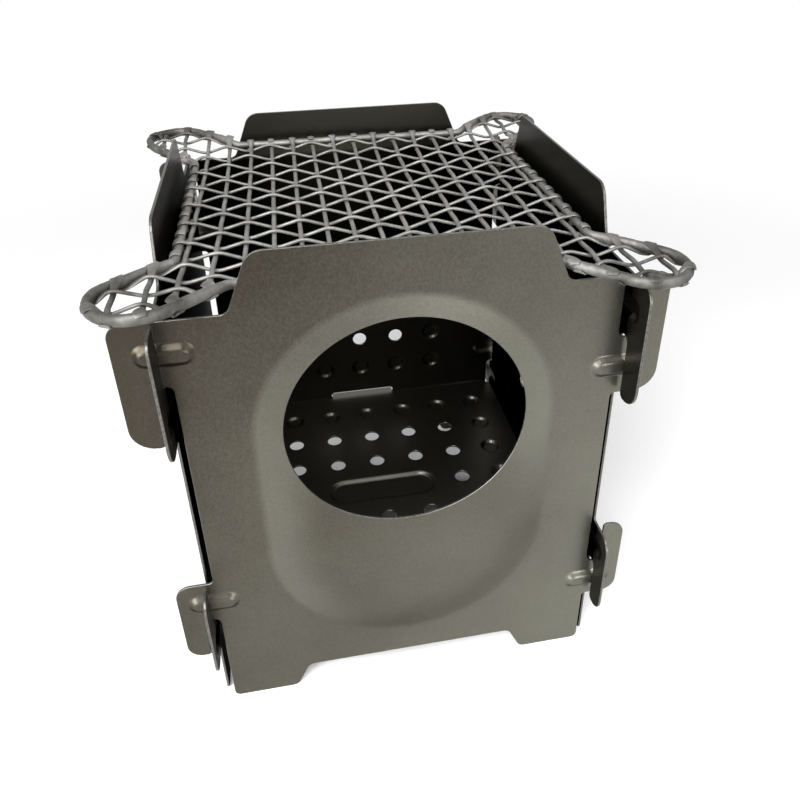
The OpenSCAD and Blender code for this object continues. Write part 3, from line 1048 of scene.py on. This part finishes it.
@dataclass
class WallPlate(HookedPlate):
    """Side or back wall with vents between two dimples, a row of dimples and the tongue's slot."""

    pitch: float = 17.0
    vent_radius: float = 3.1
    vent_height: float = 59.7
    dimple_height: float = 44.1
    slot_bottom: float = 27.4
    slot_half: float = 15.0
    slot_height: float = 3.2

    def holes(self) -> list[np.ndarray]:
        """Vents and the tongue's slot."""
        loops = [circle(i * self.pitch, self.vent_height, self.vent_radius, VENT_STEPS) for i in (-1, 0, 1)]
        end = self.slot_height / 2
        middle = self.slot_bottom + end
        turn = np.linspace(-math.pi / 2, math.pi / 2, SLOT_END_STEPS + 1)
        right = np.column_stack([self.slot_half - end + end * np.cos(turn), middle + end * np.sin(turn)])
        left = np.column_stack([end - self.slot_half - end * np.cos(turn), middle - end * np.sin(turn)])
        return [*loops, np.vstack([right, left])]

    def fields(self) -> list[Pressing]:
        """Dimples of the wall."""
        places = [(i * self.pitch, self.dimple_height) for i in range(-2, 3)]
        places += [(i * self.pitch, self.vent_height) for i in (-2, 2)]
        return [dimple(place) for place in places]


# Tray


@dataclass
class FireTray:
    """Perforated tray with three tongues, an outer ring of dimples and a pressed pan."""

    height: float = 27.7
    sheet: float = 0.8
    half: float = 63.2
    pitch: float = 16.811
    vent_radius: float = 3.1
    tongue_half: float = 14.5
    tongue_end: float = 67.0
    grid_shift: float = 2.6
    pan_half: float = 22.3
    pan_reach: float = 6.85
    pan_border: float = 1.8
    pan_rise: float = 1.1
    corner_radius: float = 4.0
    tongue_radius: float = 0.4
    reach: int = 3

    def outline(self) -> np.ndarray:
        """Outline of the tray and its tongues."""
        h, t, e = self.half, self.tongue_half, self.tongue_end
        tongue = [(-t, -h, 0.0), (-t, -e, self.tongue_radius), (t, -e, self.tongue_radius), (t, -h, 0.0)]
        corners = []
        for quarter, (c, s) in enumerate(((1, 0), (0, 1), (-1, 0), (0, -1))):
            for x, y, radius in [(-h, -h, self.corner_radius), *(tongue if quarter > 0 else [])]:
                corners.append(Corner(x * c - y * s, x * s + y * c, radius))
        return round_corners(corners)

    def build(self, face: BlastedSteel, edge: ShearedEdge) -> None:
        """Makes the tray.

        Args:
            face: Finish of the faces.
            edge: Finish of the cut edges.
        """
        middle = -self.grid_shift
        numbers = range(-self.reach, self.reach + 1)
        holes, pressings = [], []
        for i, j in ((i, j) for i in numbers for j in numbers):
            place = (i * self.pitch, j * self.pitch + middle)
            if max(abs(i), abs(j)) == self.reach:
                pressings.append(dimple(place))
            elif j != 0 or abs(i) > 1:
                holes.append(circle(*place, self.vent_radius, VENT_STEPS))
        run = self.pan_half - self.pan_reach
        sizes = (self.pan_reach, self.pan_border, self.pan_rise)
        pressings.append(Pressing((-run, middle), (run, middle), *sizes))
        sheet = PressedSheet(self.outline(), holes, pressings, self.sheet, upwards=False)
        points, faces, slots = sheet.mesh()
        points[:, 2] += self.height
        slots = [CUT if slot == CUT else OUTER for slot in slots]
        piece = make_piece("fire_tray_sheet", points, faces, [face.build(), edge.build()], slots)
        place_piece(piece, "fire_tray", "stove")


# Grill


@dataclass
class GrillShape:
    """Sizes that the rim and the wires of the grill share, and the way in which the grill is bent."""

    rim_half: float = 59.25
    height: float = 153.55
    pitch: float = 8.0041
    warp_d: float = 1.4
    weft_d: float = 1.03
    rim_d: float = 2.65
    gap: float = 0.135
    warp_share: float = 0.28
    ear_start: float = 44.325
    ear_offset: float = 7.52475
    ear_radius: float = 10.85
    bend: float = 5.0
    lift_limit: float = 1.08
    middle_lift: float = -0.4
    back_lift: float = 3.4
    front_lift: float = 1.0
    left_lift: float = 1.8
    right_lift: float = 0.9
    front_power: float = 2.0
    back_power: float = 3.5
    ear_power: float = 1.5
    ear_lifts: dict[tuple[int, int], float] = field(
        default_factory=lambda: {(-1, -1): 4.4, (-1, 1): 4.0, (1, 1): 2.6, (1, -1): 0.6}
    )

    def __post_init__(self) -> None:
        """Works out the ears from the given sizes."""
        self.ear_centre = self.rim_half + self.ear_offset
        run = self.ear_centre - self.ear_start
        length = math.hypot(run, self.ear_offset)
        self.flank = math.atan2(self.ear_offset, run) + math.asin(self.ear_radius / length)
        self.slope = math.tan(self.flank)
        self.flank_near = self.ear_centre - self.ear_radius * math.sin(self.flank)
        self.flank_far = self.ear_centre + self.ear_radius * math.cos(self.flank)
        self.bend_start = self.ear_start - self.bend * math.tan(self.flank / 2)
        self.crimp = (self.warp_d + self.weft_d) / 2 + self.gap

    def lift(self, points: np.ndarray) -> np.ndarray:
        """Height that the bent grill has over a flat one, at each point."""
        x, y = np.clip(points[:, :2] / self.rim_half, -self.lift_limit, self.lift_limit).T
        side = np.where(x < 0, self.left_lift, self.right_lift) - self.middle_lift
        end = np.where(y < 0, self.front_lift, self.back_lift) - self.middle_lift
        power = np.where(y < 0, self.front_power, self.back_power)
        bent = self.middle_lift + side * x * x + end * np.abs(y) ** power
        corner = self.middle_lift + side + end
        for (sx, sy), rise in self.ear_lifts.items():
            share = np.clip(x * sx, 0, None) * np.clip(y * sy, 0, None)
            bent += share**self.ear_power * (rise - corner)
        return bent

    def outer_meet(self, c: float) -> float:
        """Distance at which a wire at place c meets the outer run of the rim."""
        if c <= self.ear_start:
            return self.rim_half
        if c <= self.flank_near:
            return self.rim_half + (c - self.ear_start) * self.slope
        return self.ear_centre + math.sqrt(self.ear_radius**2 - (c - self.ear_centre) ** 2)

    def inner_meet(self, c: float) -> float:
        """Distance at which a wire at place c meets the inner run of the rim of an ear."""
        if c <= self.flank_far:
            return self.ear_start + (c - self.rim_half) / self.slope
        return self.ear_centre - math.sqrt(self.ear_radius**2 - (c - self.ear_centre) ** 2)

    def outwards(self, c: float, u: float) -> tuple[float, float]:
        """Direction out of the mesh and across the rim, where a wire at place c meets it at distance u.

        Args:
            c: Place of the wire, with its sign.
            u: Distance from the middle, with its sign.

        Returns:
            The direction's parts along the place and along the wire.
        """
        a, b = abs(c), abs(u)
        if a <= self.ear_start:
            found = (0.0, 1.0)
        elif b > a and a <= self.flank_near:
            found = (-math.sin(self.flank), math.cos(self.flank))
        elif b <= a and a <= self.flank_far:
            found = (math.cos(self.flank), -math.sin(self.flank))
        else:
            found = ((a - self.ear_centre) / self.ear_radius, (b - self.ear_centre) / self.ear_radius)
        return math.copysign(1, c) * found[0], math.copysign(1, u) * found[1]


def sweep(
    path: np.ndarray, normal: np.ndarray, wide: np.ndarray, thick: np.ndarray, sides: int, closed: bool
) -> tuple[np.ndarray, Faces]:
    """Sweeps an oval section along a path.

    Args:
        path: Rows of x, y and z.
        normal: Direction of the section's width, for the whole path or at each point.
        wide: Radius along the normal at each point.
        thick: Radius across the normal at each point.
        sides: Number of sides of the section.
        closed: Whether the path is a loop.

    Returns:
        Points and faces.
    """
    n = len(path)
    ahead = np.roll(path, -1, axis=0) - path
    behind = path - np.roll(path, 1, axis=0)
    if not closed:
        ahead[-1] = behind[-1]
        behind[0] = ahead[0]
    way = unit(unit(ahead) + unit(behind))
    across = unit(np.cross(normal, way))
    level = np.cross(way, across)
    turn = np.arange(sides) * 2 * math.pi / sides
    rings = (
        path[:, None, :]
        + (wide[:, None] * np.cos(turn))[:, :, None] * level[:, None, :]
        + (thick[:, None] * np.sin(turn))[:, :, None] * across[:, None, :]
    )
    points = rings.reshape(-1, 3)
    faces = []
    for i in range(n if closed else n - 1):
        j = (i + 1) % n
        for s in range(sides):
            t = (s + 1) % sides
            faces.append((i * sides + s, i * sides + t, j * sides + t, j * sides + s))
    if not closed:
        faces.append(tuple(range(sides - 1, -1, -1)))
        faces.append(tuple((n - 1) * sides + s for s in range(sides)))
    return points, faces


def soften(rows: np.ndarray, reach: float, steps: int) -> np.ndarray:
    """Rounds the inner corners of an open path.

    Args:
        rows: Rows of x, y, z and values that go with the points.
        reach: Greatest distance from a corner at which its curve begins.
        steps: Number of chords of a curve.

    Returns:
        The rows of the rounded path.
    """
    made = [rows[:1]]
    t = np.linspace(0, 1, steps + 1)[:, None]
    for before, here, after in zip(rows, rows[1:], rows[2:]):
        lengths = [np.linalg.norm((other - here)[:3]) for other in (before, after)]
        d = min(reach, *(length * CURVE_LIMIT for length in lengths))
        a, c = (here + (other - here) * d / length for other, length in zip((before, after), lengths))
        made.append((1 - t) ** 2 * a + 2 * t * (1 - t) * here + t * t * c)
    return np.vstack([*made, rows[-1:]])


@dataclass
class GrillRim:
    """Thick wire bent to a square with a long ear over each corner."""

    shape: GrillShape
    sides: int = 16
    neck_steps: int = 8
    tip_steps: int = 28
    flank_steps: int = 8
    side_steps: int = 40
    dent_share: float = 0.03
    dent_waves: Point = (1.9, 0.83)
    tall_share: float = 0.93
    flat_share: float = 0.97
    ear_fade: float = 8.0
    ear_share: float = 0.3
    crease: float = 60.0

    def _arc(self, x: float, y: float, r: float, start: float, end: float, steps: int) -> np.ndarray:
        """Points of an arc.

        Args:
            x: Middle along x.
            y: Middle along y.
            r: Radius.
            start: First angle in radians.
            end: Last angle in radians.
            steps: Number of chords.

        Returns:
            Rows of x, y and z.
        """
        turn = np.linspace(start, end, steps + 1)
        height = np.full(steps + 1, self.shape.height)
        return np.column_stack([x + r * np.cos(turn), y + r * np.sin(turn), height])

    def _straight(self, start: np.ndarray, end: np.ndarray, steps: int) -> np.ndarray:
        """Points between two points of the rim, without the two."""
        shares = np.linspace(0, 1, steps + 2)[1:-1, None]
        return start + (end - start) * shares

    def path(self) -> np.ndarray:
        """Middle line of the rim."""
        g = self.shape
        square, back = math.pi / 2, math.pi
        bend_middle = g.rim_half + g.bend
        neck = self._arc(g.bend_start, -bend_middle, g.bend, square, square - g.flank, self.neck_steps)
        tip = self._arc(g.ear_centre, -g.ear_centre, g.ear_radius, -square - g.flank, g.flank, self.tip_steps)
        end = self._arc(bend_middle, -g.bend_start, g.bend, back + g.flank, back, self.neck_steps)
        side_start = np.array([g.rim_half, -g.bend_start, g.height])
        side_end = np.array([g.rim_half, g.bend_start, g.height])
        flank = self._straight(neck[-1], tip[0], self.flank_steps)
        other_flank = self._straight(tip[-1], end[0], self.flank_steps)
        quarter = np.vstack([
            neck, flank, tip, other_flank, end, self._straight(side_start, side_end, self.side_steps)
        ])
        x, y, z = quarter.T
        return np.vstack([np.column_stack([*pair, z]) for pair in ((x, y), (-y, x), (-x, -y), (y, -x))])

    def build(self, finish: bpy.types.Material) -> None:
        """Makes the rim.

        Args:
            finish: Material of the wire.
        """
        path = self.path()
        run = np.cumsum(np.linalg.norm(path - np.roll(path, 1, axis=0), axis=1))
        dents = self.dent_share * (np.sin(run * self.dent_waves[0]) + np.sin(run * self.dent_waves[1] + 1.0))
        path[:, 2] += self.shape.lift(path)
        r = self.shape.rim_d / 2
        reach = np.abs(path[:, :2]).min(1)
        ear = np.clip((reach - self.shape.bend_start) / self.ear_fade, 0, 1)
        tall = r * (self.tall_share + dents + self.ear_share * ear)
        flat = r * (self.flat_share - np.abs(dents))
        points, faces = sweep(path, np.array([0.0, 0.0, 1.0]), tall, flat, self.sides, True)
        piece = make_piece("grill_rim_wire", points, faces, [finish], crease=self.crease)
        place_piece(piece, "grill_rim", "grill")


@dataclass(frozen=True)
class WireEnd:
    """Way in which the hammered end of a mesh wire lies round the rim.

    The angles are in degrees, with 90 straight over or under the rim. The width goes down by the taper.
    """

    angles: tuple[float, ...]
    width: float
    taper: float
    slide: float
    reach_share: float = 1.0


CORNER_REACH = 0.97 / math.cos(math.pi / 8)
WRAPPED = WireEnd((118.0, 90.0, 45.0, 0.0, -45.0, -90.0, -135.0), 1.0, 0.25, 1.0, CORNER_REACH)
HUGGING = WireEnd((122.0, 92.0, 62.0, 36.0), 1.35, 0.5, 0.5)


@dataclass(frozen=True)
class Weave:
    """What differs between the wires of the two directions."""

    over_even: int
    crest: float
    band_half: float
    lean: float
    curve: float
    seed: int


WEAVES = {Run.WARP: Weave(1, 0.0, 1.45, 1.1, 1.6, 5), Run.WEFT: Weave(-1, 2.0, 1.75, 0.0, 1.1, 55)}


@dataclass
class GrillWires:
    """Crimped wires of one direction, woven over and under those of the other, with hammered ends."""

    shape: GrillShape
    run: Run
    sides: int = 12
    count: int = 9
    long_limit: int = 7
    near_share: float = 0.45
    flat_half: float = 0.34
    rim_overlap: float = 0.06
    start_gap: float = 0.2
    start_share: float = 0.45
    turn_speed: float = 1.6
    curve_steps: int = 4
    wobble: float = 0.18
    wobble_waves: Point = (3.1, 9.0)
    wobble_lean: float = 0.5
    crease: float = 50.0

    def __post_init__(self) -> None:
        """Works out what follows from the direction."""
        warp = self.run is Run.WARP
        g = self.shape
        self.weave = WEAVES[self.run]
        self.amplitude = g.crimp * (g.warp_share if warp else 1 - g.warp_share)
        self.diameter = g.warp_d if warp else g.weft_d
        self.random = np.random.default_rng(self.weave.seed)

    def passes(self, k: int, m: int) -> int:
        """One for a wire that passes over a crossing, minus one under it."""
        return self.weave.over_even if (k + m) % 2 == 0 else -self.weave.over_even

    def rim_side(self, k: int, u: float, last: int) -> int:
        """Side of the rim on which wire k passes at distance u."""
        near = round(u / self.shape.pitch)
        if abs(near * self.shape.pitch - u) < self.shape.pitch * self.near_share:
            return self.passes(k, near)
        return -self.passes(k, last)

    def plan(self, along_place: float, along_wire: float) -> np.ndarray:
        """Direction on the ground plan, from its parts along the place and along the wire."""
        if self.run is Run.WARP:
            return np.array([along_place, along_wire, 0.0])
        return np.array([along_wire, along_place, 0.0])

    def round_rim(self, lean: np.ndarray, out: np.ndarray, side: int, angle: float) -> np.ndarray:
        """Place on a round of radius one about the rim.

        Args:
            lean: Direction of the wire on the ground plan.
            out: Direction across the rim.
            side: One over the rim, minus one under it.
            angle: Place on the round in degrees, with 90 straight over or under the rim.

        Returns:
            The place, from the middle of the rim.
        """
        turn = math.radians(angle)
        place = lean * math.cos(turn) / max(0.5, lean @ out)
        return place + np.array([0.0, 0.0, side * math.sin(turn)])

    def end(self, k: int, u: float, way: int, side: int) -> np.ndarray:
        """Path of the end of a wire over the rim and round it.

        Args:
            k: Place of the wire.
            u: Distance at which it meets the rim.
            way: Direction of the end, one or minus one.
            side: One over the rim, minus one under it.

        Returns:
            Rows from the mesh outwards, each a point, its hammered share, its width's share and the
            direction of its width.
        """
        g = self.shape
        c = k * g.pitch
        centre = self.plan(c, u)
        onward = self.plan(0.0, float(way))
        out = self.plan(*g.outwards(c, u))
        if out @ onward < 0:
            out = -out
        along = np.array([-out[1], out[0], 0.0])
        plain = self.plan(1.0, 0.0)
        if along @ plain < 0:
            along = -along
        kind = WRAPPED if abs(c) + self.diameter / 2 < g.bend_start else HUGGING
        reach = g.rim_d / 2 + self.flat_half - self.rim_overlap
        slide = self.random.uniform(-kind.slide, kind.slide)
        start = centre + (reach + self.start_gap) * self.round_rim(onward, out, side, kind.angles[0])
        rows = [[*start, self.start_share, kind.width, *plain]]
        for number, angle in enumerate(kind.angles[1:], 1):
            share = number / (len(kind.angles) - 1)
            lean = unit(onward + out * min(1.0, share * self.turn_speed))
            place = centre + reach * kind.reach_share * self.round_rim(lean, out, side, angle)
            rows.append([*(place + along * slide * share), 1.0, kind.width - kind.taper * share**2, *along])
        return np.array(rows)

    def path(self, k: int, u0: float, u1: float) -> np.ndarray:
        """Path of a wire.

        Args:
            k: Place of the wire.
            u0: Distance at which it meets the rim first.
            u1: Distance at which it meets the rim last.

        Returns:
            Rows before the grill is bent, each a point, its hammered share, its width's share and the
            direction of its width.
        """
        g = self.shape
        first = math.ceil((u0 + g.pitch / 4) / g.pitch)
        last = math.floor((u1 - g.pitch / 4) / g.pitch)
        rows = [*self.end(k, u0, -1, self.rim_side(k, u0, first))[::-1]]
        finish = self.end(k, u1, 1, self.rim_side(k, u1, last))
        for m in range(first, last + 1):
            lift = np.array([0.0, 0.0, self.amplitude * self.passes(k, m)])
            for e in sorted({-self.weave.crest / 2, self.weave.crest / 2}):
                point = self.plan(k * g.pitch, m * g.pitch + e) + lift
                rows.append([*point, 0.0, 1.0, *self.plan(1.0, 0.0)])
        return soften(np.array([*rows, *finish]), self.weave.curve, self.curve_steps)

    def make(self, name: str, k: int, u0: float, u1: float, finish: bpy.types.Material) -> None:
        """Makes one wire.

        Args:
            name: Name of the node that the wire stands for.
            k: Place of the wire.
            u0: Distance at which it meets the rim first.
            u1: Distance at which it meets the rim last.
            finish: Material of the wire.
        """
        g = self.shape
        rows = self.path(k, u0, u1)
        path, hammered, width = rows[:, :3], rows[:, 3], rows[:, 4]
        wobble = self.random.uniform(-self.wobble, self.wobble, 3)
        t = (path @ self.plan(0.0, 1.0)) / g.rim_half
        shift = wobble[0] * np.sin(self.wobble_waves[0] * t + self.wobble_waves[1] * wobble[1])
        shift += wobble[2] * t * self.wobble_lean
        if u1 - u0 > g.rim_half:
            shift += self.weave.lean * t
        path = path + shift[:, None] * self.plan(1.0, 0.0)
        path[:, 2] += g.height + g.lift(path)
        r = self.diameter / 2
        band = (r + hammered * (self.weave.band_half - r)) * width
        flat = r + hammered * (self.flat_half - r)
        points, faces = sweep(path, rows[:, 5:], band, flat, self.sides, False)
        piece = make_piece(f"{name}_round", points, faces, [finish], crease=self.crease)
        place_piece(piece, name, "grill")

    def build(self, finish: bpy.types.Material) -> None:
        """Makes all the wires of this direction.

        Args:
            finish: Material of the wires.
        """
        g = self.shape
        for number, k in enumerate(range(-self.long_limit, self.long_limit + 1), 1):
            reach = g.outer_meet(abs(k) * g.pitch)
            self.make(f"{self.run.value}_wire_{number:02d}", k, -reach, reach, finish)
        ends = (-self.count, -self.count + 1, self.count - 1, self.count)
        for number, (k, side) in enumerate(((k, side) for k in ends for side in (-1, 1)), 1):
            near, far = g.inner_meet(abs(k) * g.pitch), g.outer_meet(abs(k) * g.pitch)
            span = (near, far) if side > 0 else (-far, -near)
            self.make(f"ear_{self.run.value}_wire_{number}", k, *span, finish)


# Studio


def stand_object(name: str, data: bpy.types.ID, pose: np.ndarray) -> bpy.types.Object:
    """Adds an object to the scene in its place.

    Args:
        name: Name of the object.
        data: Its lamp or camera.
        pose: Three rows, with the directions of its axes in the first columns and its place in the last.

    Returns:
        The new object.
    """
    made = bpy.data.objects.new(name, data)
    made.matrix_world = Matrix([*pose.tolist(), [0.0, 0.0, 0.0, 1.0]])
    bpy.context.scene.collection.objects.link(made)
    return made


@dataclass(frozen=True)
class Softbox:
    """Rectangular lamp that faces a point."""

    name: str
    place: Vector
    width: float
    depth: float
    power: float
    aim: Vector = (0.0, 0.0, 0.08)

    def build(self) -> None:
        """Makes the lamp."""
        data = bpy.data.lights.new(self.name, "AREA")
        data.shape = "RECTANGLE"
        data.size = self.width
        data.size_y = self.depth
        data.energy = self.power
        back = unit(np.array(self.place) - np.array(self.aim))
        side = unit(np.cross([0.0, 0.0, 1.0], back))
        stand_object(self.name, data, np.column_stack([side, np.cross(back, side), back, self.place]))
        LOG.info("lamp %s", self.name)


@dataclass
class Studio:
    """Pale floor, plain soft light and the camera at the viewing angle of the photograph."""

    focal_px: float = 754.021
    principal: Point = (410.145, 309.272)
    frame_px: float = 800.0
    sensor: float = 36.0
    clip: Point = (0.01, 50.0)
    camera_place: Vector = (-28.947, -236.530, 245.274)
    right: Vector = (0.983312, -0.181467, -0.012902)
    down: Vector = (-0.100249, -0.481306, -0.870801)
    ahead: Vector = (0.151812, 0.857563, -0.491466)
    floor_half: float = 12000.0
    world_light: float = 0.3

    def camera(self) -> None:
        """Makes the camera."""
        data = bpy.data.cameras.new("view")
        data.sensor_width = self.sensor
        data.lens = self.focal_px * self.sensor / self.frame_px
        data.shift_x = (self.frame_px / 2 - self.principal[0]) / self.frame_px
        data.shift_y = (self.principal[1] - self.frame_px / 2) / self.frame_px
        data.clip_start, data.clip_end = self.clip
        place = np.array(self.camera_place) * MM
        pose = np.column_stack([self.right, -np.array(self.down), -np.array(self.ahead), place])
        bpy.context.scene.camera = stand_object("view", data, pose)

    def floor(self) -> None:
        """Makes the floor."""
        corners = np.array([(-1, -1, 0), (1, -1, 0), (1, 1, 0), (-1, 1, 0)]) * self.floor_half
        piece = make_piece("floor", corners, [(0, 1, 2, 3)], [PaleFloor().build()])
        piece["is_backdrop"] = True

    def world(self) -> None:
        """Sets the light that comes from all round."""
        graph = NodeGraph(bpy.data.worlds.new("studio"))
        light, white = (graph.node("Background", EVEN, power).outputs[0] for power in (self.world_light, 1.0))
        bpy.context.scene.world = graph.cover(graph.either(graph.seen(), light, white))

    def build(self) -> None:
        """Makes the whole studio."""
        self.camera()
        self.floor()
        self.world()
        for lamp in (
            Softbox("key_softbox", (-0.32, -0.6, 0.8), 0.45, 0.45, 9.0),
            Softbox("right_softbox", (0.35, -0.34, 0.5), 0.3, 0.3, 1.5, (0.25, -0.28, 0.0)),
            Softbox("left_softbox", (-0.45, -0.42, 0.3), 0.3, 0.25, 3.2, (-0.21, -0.2, 0.0)),
            Softbox("front_left_softbox", (-0.95, -1.1, 0.2), 0.95, 0.4, 10.6),
            Softbox("front_softbox", (-0.1, -1.4, 0.1), 0.85, 0.2, 1.0),
            Softbox("front_right_softbox", (0.62, -1.3, 0.2), 0.75, 0.4, 7.8),
        ):
            lamp.build()
        bpy.context.scene.view_settings.view_transform = "Standard"


def main() -> None:
    """Builds the dressed stove and its studio, and works out the box round what is shown."""
    logging.basicConfig(level=logging.INFO, format="%(name)s: %(message)s")
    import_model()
    # The front plate takes the painted gradient of light, a painted highlight on its field's upper slopes and
    # painted shade under the opening.
    plate_face = BlastedSteel("plate_face", *FRONT_TONES, slope_share=0.36, shade_share=0.06)
    wall_face = BlastedSteel("wall_face", *WALL_TONES, tone_way=STILL, tone_start=0.5, edge_tint=0.3)
    plate_edge = ShearedEdge("plate_edge", (0.078, 0.075, 0.069), (0.15, 0.147, 0.136))
    for side in Side:
        # Painted shade on the inner faces reaches the ground on the left and right walls, and starts at low
        # on the front and back.
        low = ShadedSteel.low if side in (Side.FRONT, Side.BACK) else BELOW_GROUND
        inner_face = ShadedSteel(f"{side.name.lower()}_inner_face", *WALL_TONES, low=low)
        if side is Side.FRONT:
            FrontPlate(side).build(plate_face, plate_edge, inner_face)
        else:
            WallPlate(side).build(wall_face, plate_edge, inner_face)
    # The tray takes the default painted gradient of light along tone_way, lighter to the right.
    tray_face = BlastedSteel("tray_face", (0.092, 0.088, 0.074), (0.150, 0.146, 0.129), grain_axis=1)
    FireTray().build(tray_face, plate_edge)
    shape = GrillShape()
    rim_finish = HammeredWire("rim_wire", (0.07, 0.068, 0.062), (0.30, 0.295, 0.28))
    wire_finish = HammeredWire("mesh_wire", (0.08, 0.078, 0.072), (0.34, 0.336, 0.32), mark_depth=0.00007)
    wire_material = wire_finish.build()
    GrillRim(shape).build(rim_finish.build())
    for run in Run:
        GrillWires(shape, run).build(wire_material)
    Studio().build()
    low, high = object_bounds()


if __name__ == "__main__":
    main()
